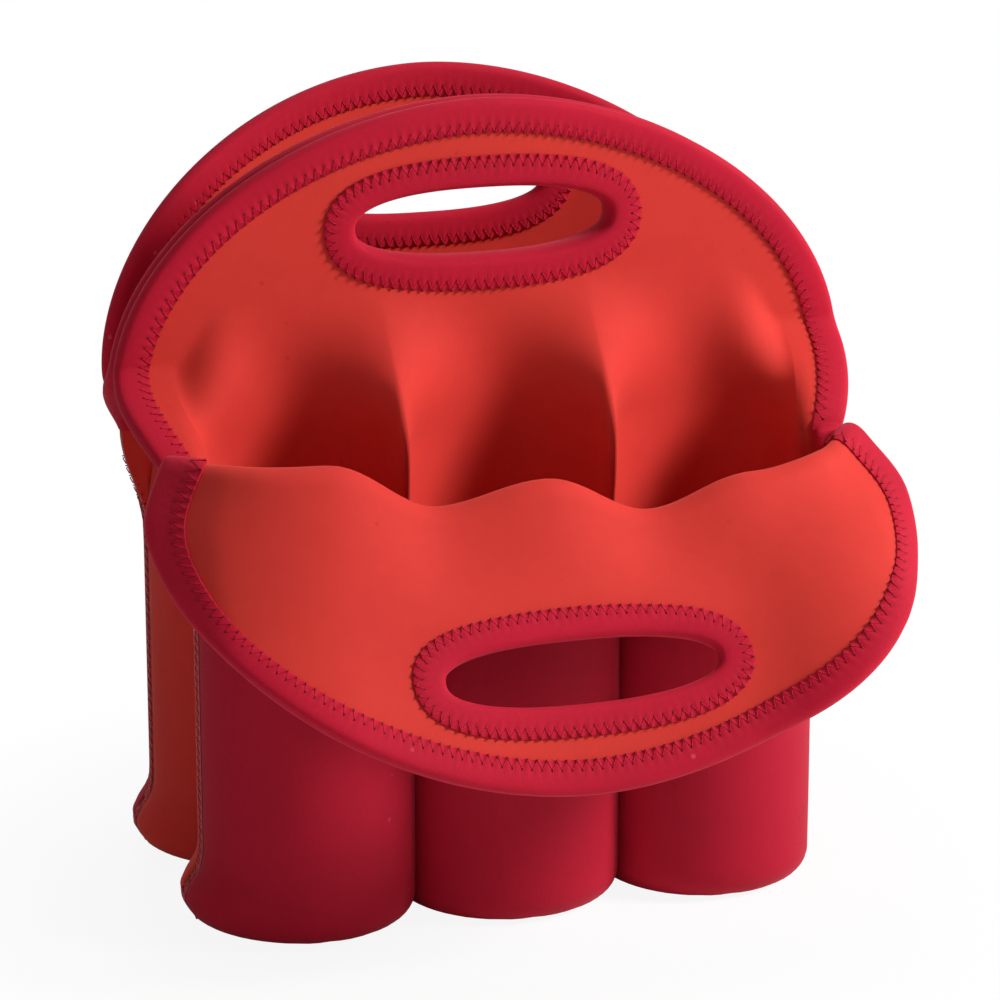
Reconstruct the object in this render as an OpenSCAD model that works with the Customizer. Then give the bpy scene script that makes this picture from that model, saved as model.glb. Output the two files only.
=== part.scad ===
// Soft carrier with six pockets, sewn from foam cloth in two rows of three.
// The front row and the rear row are alike. Each has an outer sheet and an inner sheet.
// The two inner sheets rise together as the middle handle. The rear outer sheet rises as
// the rear handle, and the front outer sheet folds forward and hangs down as a flap.
// Front is -Y, and the origin is on the ground below the middle of the whole carrier.

/* [Pockets] */
// Inside width of a pocket
pocket_bore = 62; // [52:1:76]
// Thickness of the foam cloth
cloth = 3.5; // [2.5:0.1:4.2]
// Space between neighbouring pocket walls of one row
pocket_gap = 1.5; // [1:0.1:4]
// Space between the front row and the rear row
row_gap = 2.5; // [2.5:0.1:8]
// Height of the pocket backs, where the feet of the middle handle begin
back_h = 150; // [125:1:185]
// Height up to which the outer walls stay round
round_h = 115; // [80:1:118]
// Rounding around the foot of a pocket
foot_r = 9; // [6:0.5:14]
// How far the sewn margin stands out at the side seams
margin_w = 2.8; // [1.5:0.1:5]
// Thickness of one sheet in the pressed side margin
margin_t = 2; // [1.2:0.1:3]

/* [Handles] */
// Height of the upright handles above the pocket backs
handle_rise = 112; // [94:1:136]
// Height of a handle's widest place above the pocket backs
belly_rise = 22; // [16:1:30]
// How far a handle reaches sideways past the row of pockets
handle_over = 20; // [14:0.5:26]
// Fullness of the handle outline, where 2 is an ellipse
handle_round = 1.9; // [1.7:0.05:2.3]
// Height above the pocket backs at which the middle handle bends
bend_rise = 40; // [32:1:48]
// Room at the bend of the middle handle
bend_gap = 2.3; // [2:0.1:4]
// How far back the rear handle stands at its middle, from between the rows
rear_back = 66; // [60:1:70]
// How much further forward the rear handle's sides stand
rear_bow = 20; // [0:1:26]
// Room under the rear handle's foot
rear_gap = 1; // [0.9:0.1:3]
// Angle that the rear handle can lean inward
rear_lean = 10; // [0:1:10]

/* [Grips] */
// Width of the grip hole of the upright handles
grip_w = 86; // [72:1:100]
// Width of the grip hole of the front flap
flap_grip_w = 90; // [75:1:104]
// Height of a grip hole
grip_h = 22; // [18:1:27]
// Distance from the free edge of a handle to the middle of its grip hole
grip_in = 41; // [38:1:48]
// Fullness of the grip hole, where 2 is an ellipse
grip_round = 2.4; // [2:0.1:3.2]

/* [Front flap] */
// Length of the front flap from its fold to its free edge
flap_len = 107; // [92:1:125]
// Height of the fold's top above the ground, over a pocket
fold_h = 152; // [135:1:180]
// How much lower the fold lies over the seams between pockets
fold_dip = 10; // [0:1:14]
// How far the mouth draws in at the fold
fold_in = 3.5; // [1:0.5:6]
// How far back the ends of the fold run, towards the side seams
fold_end = 24; // [12:1:27]
// Radius of the fold
fold_r = 6.5; // [5:0.5:9]
// Room between the fold's tape and the top of the wall below it
fold_gap = 0.6; // [0.4:0.1:2]
// Angle that the flap stands off from hanging straight down, at its middle
flap_lean = 26; // [15:1:35]
// Further angle that the flap stands off at its sides
flap_side_lean = 16; // [0:1:22]

/* [Binding tape] */
// Width of the tape on each face of the cloth
tape_w = 10; // [7:0.5:12]
// Thickness of the tape
tape_t = 0.8; // [0.5:0.1:0.9]
// Clearance between the tape and the cloth that it wraps
tape_fit = 0.3; // [0.2:0.05:0.4]

/* [Hidden] */
crimson = [0.62, 0.05, 0.16];
orange_red = [0.85, 0.22, 0.15];
tape_red = [0.74, 0.08, 0.22];
// Facets of round pocket walls
$fn = 72;
// Radii of a pocket wall: inside, middle of the cloth and outside
r_in = pocket_bore / 2;
r_mid = r_in + cloth / 2;
r_out = r_in + cloth;
// Distance between pocket centres of a row, and from the seam plane to the plane between the rows
pitch = 2 * r_out + pocket_gap;
seam_y = r_out + row_gap / 2;
// Middle of an inner sheet's cloth where the two rows meet
layer_y = seam_y - r_mid;
// Half width of a row of pockets, without and with the sewn margin
row_half = pitch + r_out;
margin_x = row_half + margin_w;
// Overhang of the tape's rim past the cloth's edge
rim = tape_fit + tape_t + 0.2;
tape_half = cloth / 2 + tape_fit + tape_t;
// Handle outline: half width, height above its widest place, and the height of that place
arch_a = row_half + handle_over - rim;
arch_b = handle_rise - belly_rise - rim;
arch_z = back_h + belly_rise;
grip_z = back_h + handle_rise - grip_in;
bend_z = back_h + bend_rise;
// Pattern of the flap: distance from the fold to its widest place and to its grip
flap_s = flap_len - arch_b;
flap_grip_s = flap_len + rim - grip_in;
// Height of the ear where a pocket back widens to the handle's corner
ear_h = 15;
// Step forward from the middle of the mouth's wall to where the flap begins
fold_step = cloth / 2 + 0.5;
// Columns and stations of the soft sheets and tapes
ring_n = 26;
edge_n = 33;
root_n = 24;

function unit(v) = v / norm(v);
function mix(a, b, k) = a * (1 - k) + b * k;
// A number's power that keeps its sign
function spow(v, p) = sign(v) * pow(abs(v), p);
// Closed rounded outline around [0, 0] with half sizes a and b and fullness n
function round_pt(t, a, b, n) = [a * spow(cos(t), 2 / n), b * spow(sin(t), 2 / n)];
// Angle at which a handle outline passes a height v above its widest place
function arch_angle(v) = asin(spow(v / arch_b, handle_round / 2));
// Point of a handle outline whose widest place is at height c
function arch_pt(t, c) = round_pt(t, arch_a, arch_b, handle_round) + [0, c];
function arch_half(v) = arch_a * pow(1 - pow(abs(v) / arch_b, handle_round), 1 / handle_round);
// Outline of a handle from a foot height, left corner to right corner
function arch_path(foot, c, n) =
    let (t0 = arch_angle(foot - c))
    [for (k = [0 : n]) arch_pt(180 - t0 - (180 - 2 * t0) * k / n, c)];
function grip_path(w, h, c, n) =
    [for (k = [0 : n - 1]) round_pt(360 * k / n, w / 2, h / 2, grip_round) + [0, c]];
// Places close together near a foot line, where the cloth turns round the fold
turn_s = [0, 2, 4, 6, 8];
turn_end = 10;
flap_edge = concat(
    [for (v = turn_s) [-arch_half(max(v, 0.3) - flap_s), max(v, 0.3)]],
    arch_path(turn_end, flap_s, edge_n - 5),
    [for (k = [4 : -1 : 0]) let (v = max(turn_s[k], 0.3)) [arch_half(v - flap_s), v]]
);

// Depth of the pocket wall in front of the seam plane at a place x along the row
function scallop(x) =
    let (l = abs(x) > 1.5 * pitch ? pitch : x - pitch * round(x / pitch), d = r_mid * r_mid - l * l)
    d > cloth * cloth / 4 ? sqrt(d) : cloth / 2;
// Places along a row that follow the round walls closely, with one at each seam
row_x = concat([-1.5 * pitch], [
    for (i = [-1 : 1]) each concat(
        [for (t = [-75 : 15 : 75]) i * pitch + r_mid * sin(t)], [(i + 0.5) * pitch]
    )
]);
// Smooth fall from 1 to 0
function fade(k) = k <= 0 ? 1 : k >= 1 ? 0 : (1 + cos(180 * k)) / 2;

// Surfaces: each gives the middle of the cloth at a place of its flat pattern
front_foot_at = function(x, z)
    [x, -layer_y - fade((z - back_h) / bend_rise) * (seam_y - layer_y - scallop(x)), z];
rear_foot_at = function(x, z) let (p = front_foot_at(x, z)) [p[0], -p[1], p[2]];
front_panel_at = function(x, z) [x, -layer_y, z];
rear_panel_at = function(x, z) [x, layer_y, z];
middle_at = function(x, z) [x, 0, z];
function rear_y(x) = rear_back - rear_bow * pow(x / arch_a, 2);
rear_handle_at = function(x, z) [x, rear_y(x), z];
// Lower edge of the rear handle, lifted so that its sides can lean inward
function rear_foot_z(x) = back_h + rear_gap + sin(rear_lean) * (rear_back - rear_y(x));

// Fold line of the flap. It is straight over the pockets and runs back to the side seams
function fold_back(x) = fold_end * pow(max(abs(x) - pitch, 0) / (arch_a - pitch), 2);
function fold_y(x) = -seam_y - r_mid + fold_in + fold_back(x);
function fold_wave(x) = abs(x) < pitch ? fold_dip * (1 - cos(360 * x / pitch)) / 2 : 0;
function fold_z(x) = fold_h - cloth / 2 - fold_wave(x);
// The flap leaves the fold line level, turns down round the fold and hangs at its lean
flap_at = function(x, s)
    let (
        lean = flap_lean + flap_side_lean * pow(x / arch_a, 2),
        turn = 90 - lean,
        arc = fold_r * turn * PI / 180,
        b = min(max(s, 0), arc) / fold_r * 180 / PI,
        rest = s > arc ? s - arc : 0,
        lead = min(s, 0)
    )
    [
        x,
        fold_y(x) - fold_step - lead - fold_r * sin(b) - rest * sin(lean),
        fold_z(0) - fold_wave(x) * fade(s / 50) - fold_r * (1 - cos(b)) - rest * cos(lean)
    ];

// Unit normal of a surface
function normal_of(f, x, v, e = 0.05) =
    unit(cross(f(x + e, v) - f(x - e, v), f(x, v + e) - f(x, v - e)));

// Whole carrier's front and rear reach, which place the origin
front_reach = min([
    for (row = tape_face(flap_at, flap_edge, tape_outer(cloth / 2))) each [for (v = row) v[1]]
]);
rear_reach = max(seam_y + r_out, rear_back + tape_half);
bag_y = -(front_reach + rear_reach) / 2;

// A closed solid between two grids of points, round in itself if ring is true
module shell(a, b, ring = false) {
    n = len(a);
    m = len(a[0]);
    cols = ring ? m : m - 1;
    function at(side, i, j) = side * n * m + i * m + j % m;
    faces = [
        for (i = [0 : n - 2], j = [0 : cols - 1]) each [
            [at(0, i, j), at(0, i, j + 1), at(0, i + 1, j + 1)],
            [at(0, i, j), at(0, i + 1, j + 1), at(0, i + 1, j)],
            [at(1, i, j), at(1, i + 1, j + 1), at(1, i, j + 1)],
            [at(1, i, j), at(1, i + 1, j), at(1, i + 1, j + 1)]
        ],
        for (j = [0 : cols - 1]) each [
            [at(0, 0, j + 1), at(0, 0, j), at(1, 0, j)],
            [at(0, 0, j + 1), at(1, 0, j), at(1, 0, j + 1)],
            [at(0, n - 1, j), at(0, n - 1, j + 1), at(1, n - 1, j + 1)],
            [at(0, n - 1, j), at(1, n - 1, j + 1), at(1, n - 1, j)]
        ],
        if (!ring) for (i = [0 : n - 2]) each [
            [at(0, i, 0), at(0, i + 1, 0), at(1, i + 1, 0)],
            [at(0, i, 0), at(1, i + 1, 0), at(1, i, 0)],
            [at(0, i + 1, m - 1), at(0, i, m - 1), at(1, i, m - 1)],
            [at(0, i + 1, m - 1), at(1, i, m - 1), at(1, i + 1, m - 1)]
        ]
    ];
    polyhedron([for (row = a) each row, for (row = b) each row], faces);
}

// A sheet of cloth on the surface f. The grid holds its pattern points, and side is 1 where
// the grid's rows and columns turn the same way as the surface
module sheet(f, grid, side, ring = false) {
    function face(k) = [
        for (row = grid) [for (p = row) f(p[0], p[1]) + normal_of(f, p[0], p[1]) * k * cloth / 2]
    ];
    shell(face(side), face(-side), ring);
}

// Section of a binding tape: distance inward from the cloth's edge, and along its normal.
// Half is half the thickness of the cloth inside it
function tape_outer(half) =
    let (o = half + tape_fit + tape_t)
    [[tape_w, -o], [0.2, -o], [-rim, -o * 0.55], [-rim, o * 0.55], [0.2, o], [tape_w, o]];
function tape_inner(half) =
    let (h = half + tape_fit, e = -tape_fit)
    [[tape_w, -h], [e, -h], [e, -h * 0.5], [e, h * 0.5], [e, h], [tape_w, h]];
// Direction across a path of the pattern. An open path's ends are cut level, and so are all
// its sections if level is true
function across_path(path, k, ring, level) =
    let (
        n = len(path),
        back = path[ring ? (k + n - 1) % n : max(k - 1, 0)],
        on = path[ring ? (k + 1) % n : min(k + 1, n - 1)],
        t = unit(on - back)
    )
    ring || (k > 0 && k < n - 1 && !level) ? [t[1], -t[0]] : [1 / t[1], 0];
// Grid of a tape's section carried along a path that runs along the cloth's edge
function tape_face(f, path, section, ring = false, level = false) = [
    for (q = section) [
        for (k = [0 : len(path) - 1])
            let (p = path[k] + across_path(path, k, ring, level) * q[0])
            f(p[0], p[1]) + normal_of(f, p[0], p[1]) * q[1]
    ]
];

// Binding tape folded round an edge of the surface f
module tape(f, path, half, ring = false, level = false) {
    shell(
        tape_face(f, path, tape_outer(half), ring, level),
        tape_face(f, path, tape_inner(half), ring, level),
        ring
    );
}

// Pattern grid between a hole and an outline of the same number of points
function ring_grid(hole, outline, steps) =
    [for (k = steps) [for (j = [0 : len(hole) - 1]) mix(hole[j], outline[j], k)]];
// Closed outline of a handle, anticlockwise from its right corner, over the foot line low
function handle_loop(low, c, up, down) =
    let (
        foot = low(arch_a),
        x0 = arch_half(foot - c),
        over = arch_path(foot + turn_end, c, up)
    )
    concat(
        [for (v = turn_s) [arch_half(foot + v - c), foot + v]],
        [for (k = [up : -1 : 0]) over[k]],
        [for (k = [4 : -1 : 1]) [-arch_half(foot + turn_s[k] - c), foot + turn_s[k]]],
        [for (k = [0 : down - 1]) let (x = x0 * (2 * k / down - 1)) [x, low(x)]]
    );
// Points of a grip hole, each on the ray towards a point of an outline
function hole_towards(outline, w, h, c) = [
    for (p = outline)
        let (
            d = p - [0, c],
            k = pow(pow(abs(d[0]) * 2 / w, grip_round) + pow(abs(d[1]) * 2 / h, grip_round), 1 / grip_round)
        )
        d / k + [0, c]
];

// Section of a pocket, from its axis to its wall
module cup_profile(r, corner, h) {
    square([r - corner, h]);
    translate([0, corner]) square([r, h - corner]);
    translate([r - corner, corner]) circle(corner);
}

// Half of a pocket on the side of +Y, with half its floor
module half_pocket(h) {
    rotate_extrude(angle = 180) difference() {
        cup_profile(r_out, foot_r, h);
        translate([0, cloth]) cup_profile(r_in, foot_r - cloth, h);
    }
}

// Three half pockets on the side of +Y, joined by the webs at their seams
module half_row(h) {
    for (i = [-1 : 1]) translate([i * pitch, 0, 0]) half_pocket(h);
    for (i = [-1, 0])
        translate([i * pitch + r_in, 0, foot_r]) cube([pitch - 2 * r_in, cloth, h - foot_r]);
}

// Outer sheet of a row, on the side of +Y
module outer_row() {
    translate([0, seam_y, 0]) {
        half_row(round_h);
        for (k = [0, 1]) mirror([k, 0, 0])
            translate([pitch + r_in, 0, foot_r]) cube([margin_x - pitch - r_in, margin_t, round_h - foot_r]);
    }
}

// Side margin of an inner sheet, which widens to the handle's corner at its top
module ear() {
    corner = arch_half(belly_rise);
    rotate([90, 0, 0]) linear_extrude(cloth) polygon(concat(
        [[pitch + r_in, foot_r], [margin_x, foot_r + 3]],
        [for (k = [0 : 0.2 : 1]) [mix(margin_x, corner, k * k), back_h - ear_h * (1 - k)]],
        [[pitch + r_in, back_h]]
    ));
}

// Inner sheet of the front row: the halves of its pockets that lie towards the rear row
module inner_row() {
    translate([0, -seam_y, 0]) {
        half_row(back_h);
        for (k = [0, 1]) mirror([k, 0, 0]) translate([0, cloth, 0]) ear();
    }
}

// Mouth of an outer sheet. It leads from the round pocket walls to a line that top gives,
// and it flares at the sides from the sewn margin to the handle's corner
module mouth(top) {
    corner = arch_half(belly_rise);
    side = 1.5 * pitch;
    cols = concat(
        [for (k = [1, 0.5]) [-mix(side, margin_x, k), -mix(side, corner, k)]],
        [for (x = row_x) [x, x]],
        [for (k = [0.5, 1]) [mix(side, margin_x, k), mix(side, corner, k)]]
    );
    function low(c) = [c[0], -seam_y - scallop(c[0]), round_h];
    function high(c) = top(c[1]);
    function bend(c) = [c[0], low(c)[1], high(c)[2] - 4];
    function at(c, v) =
        low(c) * (1 - v) * (1 - v) + bend(c) * 2 * v * (1 - v) + high(c) * v * v;
    function across(j, v) = at(cols[min(j + 1, len(cols) - 1)], v) - at(cols[max(j - 1, 0)], v);
    function along(j, v) = at(cols[j], min(v + 0.02, 1)) - at(cols[j], max(v - 0.02, 0));
    function out(j, v) = let (n = cross(across(j, v), along(j, v))) unit([n[0], n[1], 0]);
    function face(k) = [
        for (v = [0 : 0.25 : 1]) [
            for (j = [0 : len(cols) - 1]) at(cols[j], v) + out(j, v) * k * cloth / 2
        ]
    ];
    shell(face(-1), face(1));
}

// Foot of the middle handle, which gathers the row's curves into a flat panel
levels = [for (k = [0 : 6]) back_h + (bend_rise - bend_gap / 2) * k / 6];
module foot(f, side) {
    grid = [
        for (z = levels) let (e = arch_half(z - arch_z), s = 1.5 * pitch) concat(
            [for (k = [1, 0.5]) [-mix(s, e, k), z]],
            [for (x = row_x) [x, z]],
            [for (k = [0.5, 1]) [mix(s, e, k), z]]
        )
    ];
    sheet(f, grid, side);
}

// Tape on the two side edges of a foot
module foot_tape(f) {
    stops = [for (k = [0 : 6]) k == 0 ? back_h + 0.3 : levels[k]];
    left = [for (z = stops) [-arch_half(z - arch_z), z]];
    right = [for (k = [6 : -1 : 0]) [-left[k][0], left[k][1]]];
    tape(f, left, cloth / 2, level = true);
    tape(f, right, cloth / 2, level = true);
}

// Flat panel of the middle handle, with its front face at y
module middle_panel(y) {
    foot_z = bend_z + bend_gap / 2;
    translate([0, y + cloth, 0]) rotate([90, 0, 0]) linear_extrude(cloth) difference() {
        polygon(arch_path(foot_z, arch_z, 60));
        polygon(grip_path(grip_w + 2 * rim, grip_h + 2 * rim, grip_z, 48));
    }
}

module middle_edge_tape(f) {
    tape(f, arch_path(bend_z + bend_gap / 2, arch_z, edge_n - 3), cloth / 2);
}

module grip_tape(f, w, c, half) {
    tape(f, grip_path(w + 2 * rim, grip_h + 2 * rim, c, ring_n), half, true);
}

module place() translate([0, bag_y, 0]) children();

module front_outer_sheet() color(crimson) place() mirror([0, 1, 0]) outer_row();
module rear_outer_sheet() color(crimson) place() outer_row();
module front_inner_sheet() color(orange_red) place() inner_row();
module rear_inner_sheet() color(orange_red) place() mirror([0, 1, 0]) inner_row();

module front_mouth() color(crimson) place() mouth(function(x)
    [x, fold_y(x), fold_z(x) - tape_half - fold_gap]);
module rear_mouth() color(crimson) place() mirror([0, 1, 0]) mouth(function(x)
    [x, -rear_y(x), back_h]);

module middle_front_foot() color(orange_red) place() foot(front_foot_at, -1);
module middle_rear_foot() color(orange_red) place() foot(rear_foot_at, -1);
module middle_front_foot_tape() color(tape_red) place() foot_tape(front_foot_at);
module middle_rear_foot_tape() color(tape_red) place() foot_tape(rear_foot_at);

module middle_front_panel() color(orange_red) place() middle_panel(-layer_y - cloth / 2);
module middle_rear_panel() color(orange_red) place() middle_panel(layer_y - cloth / 2);
module middle_front_edge_tape() color(tape_red) place() middle_edge_tape(front_panel_at);
module middle_rear_edge_tape() color(tape_red) place() middle_edge_tape(rear_panel_at);
module middle_grip_tape() color(tape_red) place()
    grip_tape(middle_at, grip_w, grip_z, layer_y + cloth / 2);

module front_flap() {
    loop = handle_loop(function(x) 0, flap_s, edge_n - 5, root_n);
    hole = hole_towards(loop, flap_grip_w + 2 * rim, grip_h + 2 * rim, flap_grip_s);
    steps = [0, 0.16, 0.45, 0.78, 0.85, 0.92, 1];
    color(orange_red) place() sheet(flap_at, ring_grid(hole, loop, steps), 1, true);
}
module front_flap_edge_tape() color(tape_red) place()
    tape(flap_at, flap_edge, cloth / 2);
module front_flap_grip_tape() color(tape_red) place()
    grip_tape(flap_at, flap_grip_w, flap_grip_s, cloth / 2);

module rear_handle() {
    loop = handle_loop(function(x) rear_foot_z(x), arch_z, edge_n - 5, root_n);
    hole = hole_towards(loop, grip_w + 2 * rim, grip_h + 2 * rim, grip_z);
    color(crimson) place() sheet(rear_handle_at, ring_grid(hole, loop, [0, 0.16, 0.45, 0.75, 1]), 1, true);
}
module rear_handle_edge_tape() color(tape_red) place()
    tape(rear_handle_at, arch_path(rear_foot_z(arch_a) + 0.3, arch_z, edge_n), cloth / 2);
module rear_handle_grip_tape() color(tape_red) place()
    grip_tape(rear_handle_at, grip_w, grip_z, cloth / 2);

front_outer_sheet();
front_mouth();
front_inner_sheet();
rear_inner_sheet();
rear_outer_sheet();
rear_mouth();
middle_front_foot();
middle_rear_foot();
middle_front_foot_tape();
middle_rear_foot_tape();
middle_front_panel();
middle_rear_panel();
middle_front_edge_tape();
middle_rear_edge_tape();
middle_grip_tape();
front_flap();
front_flap_edge_tape();
front_flap_grip_tape();
rear_handle();
rear_handle_edge_tape();
rear_handle_grip_tape();
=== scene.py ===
# %% [markdown]
# A soft carrier with six round pockets, sewn from foam cloth in two rows of three.
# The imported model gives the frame: four bodies and three hinges. Every piece below is a
# soft one, so each CAD node is replaced by a fuller sheet, tape or line of thread that
# sits in the same place.

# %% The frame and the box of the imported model
import math

import bpy
import numpy as np
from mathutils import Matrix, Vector


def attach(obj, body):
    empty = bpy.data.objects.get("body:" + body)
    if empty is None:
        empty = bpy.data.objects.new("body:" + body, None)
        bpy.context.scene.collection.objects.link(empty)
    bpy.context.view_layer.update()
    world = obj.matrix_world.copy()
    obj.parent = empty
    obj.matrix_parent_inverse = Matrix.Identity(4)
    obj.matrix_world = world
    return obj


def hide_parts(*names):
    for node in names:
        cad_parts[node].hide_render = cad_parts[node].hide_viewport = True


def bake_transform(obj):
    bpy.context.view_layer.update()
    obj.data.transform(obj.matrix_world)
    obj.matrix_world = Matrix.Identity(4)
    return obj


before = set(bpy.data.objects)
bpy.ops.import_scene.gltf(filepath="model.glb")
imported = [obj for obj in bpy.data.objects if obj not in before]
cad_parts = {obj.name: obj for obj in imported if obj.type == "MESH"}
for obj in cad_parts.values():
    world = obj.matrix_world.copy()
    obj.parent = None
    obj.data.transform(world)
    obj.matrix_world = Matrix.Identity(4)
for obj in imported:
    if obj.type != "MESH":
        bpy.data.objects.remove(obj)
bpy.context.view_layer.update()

# %% [markdown]
# The sizes are the pattern's own, in millimetres. Front is -Y. The two rows of pockets
# lie on either side of y = 0, and `BAG_Y` moves the whole bag back into the frame.

# %% Sizes of the pattern
CLOTH = 3.5
R_MID = 32.75
PITCH = 70.5
SEAM_Y = 35.75
LAYER_Y = 3.0
ROUND_H = 115.0
BACK_H = 150.0
HANDLE_CUT = 196.0
MARGIN_X = 107.8
ROW_END = 1.5 * PITCH
ARCH_A, ARCH_B, ARCH_Z, ARCH_N = 123.7, 88.7, 172.0, 1.9
GRIP_Z = 221.0
GRIP_N = 2.4
RIM = 1.3
GRIP_H = 22 + 2 * RIM
GRIP_W = 86 + 2 * RIM
FLAP_GRIP_W = 90 + 2 * RIM
TAPE_W = 10.0
TAPE_T = 0.8
FOLD_R = 6.5
FOLD_TOP = 152.6
FOLD_ROOT = 6.5
FLAP_LEN = 107.0
FLAP_S = FLAP_LEN - ARCH_B
FLAP_GRIP_S = FLAP_LEN + RIM - 41.0
FOOT_R = 7.5
STITCH = 3.3
BAG_Y = 24.5156
CORNER_X = 119.9
REAR_Y = 66.0
REAR_BOW = 32.0
FLAP_LEAN = 26.0
SEAM_IN = 8.8
FOOT_ROWS = 12
ARCH_POINTS = 150
EDGE_POINTS = 760
GRIP_POINTS = 420


def arch_half(v):
    """Half width of a handle at v above its widest place: a (1 - |v / b|^n)^(1/n)."""
    k = np.clip(1 - np.abs(np.asarray(v, float) / ARCH_B) ** ARCH_N, 0, None)
    return ARCH_A * k ** (1 / ARCH_N)


def rise(k):
    """Smooth rise from 0 to 1: (1 - cos(pi k)) / 2, with k held between 0 and 1."""
    return (1 - np.cos(np.pi * np.clip(k, 0, 1))) / 2


def spow(v, p):
    """A number's power that keeps its sign."""
    return np.sign(v) * np.abs(v) ** p


def run_length(p):
    """Length along the rows of p from the first one, at each row."""
    step = np.linalg.norm(np.diff(p, axis=0), axis=-1)
    return np.concatenate([0 * step[:1], np.cumsum(step, axis=0)])


def tuck(x, height, much, over):
    """Draws the ends of a handle's foot inwards: x loses `much` at its ends at height 0,
    and nothing from the height `over` on, with smooth steps both ways."""
    return x - np.sign(x) * much * rise((np.abs(x) - 88) / 26) * (1 - rise(height / over))


print("half width at a handle's corner", round(float(arch_half(22)), 1), "mm")

# %% [markdown]
# Foam cloth is two knitted faces on a rubber foam, about 3.5 mm thick. A sheet is worked
# out as the middle of the cloth on a grid, and then given its thickness along the
# normal. Blender could do that with Solidify, but a numpy shell gives one closed mesh
# whose two faces and cut rims can wear different cloth, and its flat pattern becomes the
# UV map, so that the knit follows the cloth round every fold.


# %% Closed shells from grids
def unit(v):
    """Vectors divided by their length."""
    return v / np.maximum(np.linalg.norm(v, axis=-1, keepdims=True), 1e-9)


def tangents(line, closed):
    """Unit steps along a line of points, which may be a loop."""
    if closed:
        return unit(np.roll(line, -1, 0) - np.roll(line, 1, 0))
    return unit(np.gradient(line, axis=0))


def grid_normals(p):
    """Unit normals of a grid of points: the cross product of the steps along j and i."""
    return unit(np.cross(np.gradient(p, axis=1), np.gradient(p, axis=0)))


def function_normals(f, u, v, e=0.05):
    """Unit normals of a surface f(u, v), from small steps along u and v."""
    return unit(np.cross(f(u + e, v) - f(u - e, v), f(u, v + e) - f(u, v - e)))


def grid_quads(rows, cols, ring):
    """Indexes of the quads between neighbouring rows and columns of a grid."""
    j = np.arange(cols if ring else cols - 1)
    i, j = np.meshgrid(np.arange(rows - 1), j, indexing="ij")
    k = (j + 1) % cols
    quads = [i * cols + j, i * cols + k, (i + 1) * cols + k, (i + 1) * cols + j]
    return np.stack(quads, -1).reshape(-1, 4)


def rim_quads(rows, cols, ring):
    """Quads that join the borders of a front grid and a back grid of the same size."""
    size = rows * cols
    j = np.arange(cols if ring else cols - 1)
    k = (j + 1) % cols
    last = (rows - 1) * cols
    out = [
        np.stack([k, j, j + size, k + size], -1),
        np.stack([last + j, last + k, last + k + size, last + j + size], -1),
    ]
    if not ring:
        a = np.arange(rows - 1) * cols
        b = a + cols
        out.append(np.stack([a, b, b + size, a + size], -1))
        a, b = a + cols - 1, b + cols - 1
        out.append(np.stack([b, a, a + size, b + size], -1))
    return np.concatenate(out)


def put_mesh(name, points, quads, uv, slots, materials):
    """Puts points in millimetres of the bag and quads into a mesh object in the frame."""
    co = (np.asarray(points, float).reshape(-1, 3) + [0, BAG_Y, 0]) / 1000
    mesh = bpy.data.meshes.new(name)
    mesh.vertices.add(len(co))
    mesh.vertices.foreach_set("co", co.ravel())
    mesh.loops.add(quads.size)
    mesh.loops.foreach_set("vertex_index", quads.ravel().astype(np.int32))
    mesh.polygons.add(len(quads))
    mesh.polygons.foreach_set("loop_start", np.arange(0, quads.size, 4, dtype=np.int32))
    mesh.update(calc_edges=True)
    mesh.polygons.foreach_set("use_smooth", np.ones(len(quads), bool))
    layer = mesh.uv_layers.new(name="pattern")
    layer.uv.foreach_set("vector", np.asarray(uv, float).reshape(-1, 2)[quads.ravel()].ravel())
    for m in materials:
        mesh.materials.append(m)
    mesh.polygons.foreach_set("material_index", np.asarray(slots, np.int32))
    mesh.update()
    made = bpy.data.objects.new(name, mesh)
    bpy.context.scene.collection.objects.link(made)
    return made


def shell_mesh(name, patches, materials):
    """One closed mesh from patches (front, back, uv, ring), each a pair of grids. Borders
    that two patches share are welded and get no rim. materials are those of the front
    face, the back face and the rim."""
    points, quads, slots, uvs, first = [], [], [], [], 0
    for front, back, uv, ring in patches:
        rows, cols = front.shape[:2]
        size = rows * cols
        a, rim = grid_quads(rows, cols, ring), rim_quads(rows, cols, ring)
        if np.sum(grid_normals(front) * (front - back)) < 0:
            a, rim = a[:, ::-1], rim[:, ::-1]
        faces = [a, (a + size)[:, ::-1], rim]
        points += [front.reshape(-1, 3), back.reshape(-1, 3)]
        uvs += [uv.reshape(-1, 2)] * 2
        quads.append(np.concatenate(faces) + first)
        slots.append(np.repeat([0, 1, 2], [len(k) for k in faces]))
        first += 2 * size
    points, quads = np.concatenate(points), np.concatenate(quads)
    slots, uvs = np.concatenate(slots), np.concatenate(uvs)
    if len(patches) > 1:
        key = np.round(points * 1000).astype(np.int64)
        _, keep, back_to = np.unique(key, axis=0, return_index=True, return_inverse=True)
        back_to = back_to.ravel()
        quads_new = back_to[quads]
        same = np.sort(quads_new, axis=1)
        _, where, count = np.unique(same, axis=0, return_inverse=True, return_counts=True)
        kept = count[where.ravel()] == 1
        points, uvs = points[keep], uvs[keep]
        quads, slots = quads_new[kept], slots[kept]
    made = put_mesh(name, points, quads, uvs, slots, materials)
    loops = np.zeros(quads.size, np.int32)
    made.data.loops.foreach_get("edge_index", loops)
    rim = np.repeat(slots == 2, 4)
    both = np.zeros((len(made.data.edges), 2), bool)
    both[loops[rim], 0] = True
    both[loops[~rim], 1] = True
    sharp = made.data.attributes.new("sharp_edge", "BOOLEAN", "EDGE")
    sharp.data.foreach_set("value", both.all(1))
    return made


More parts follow.
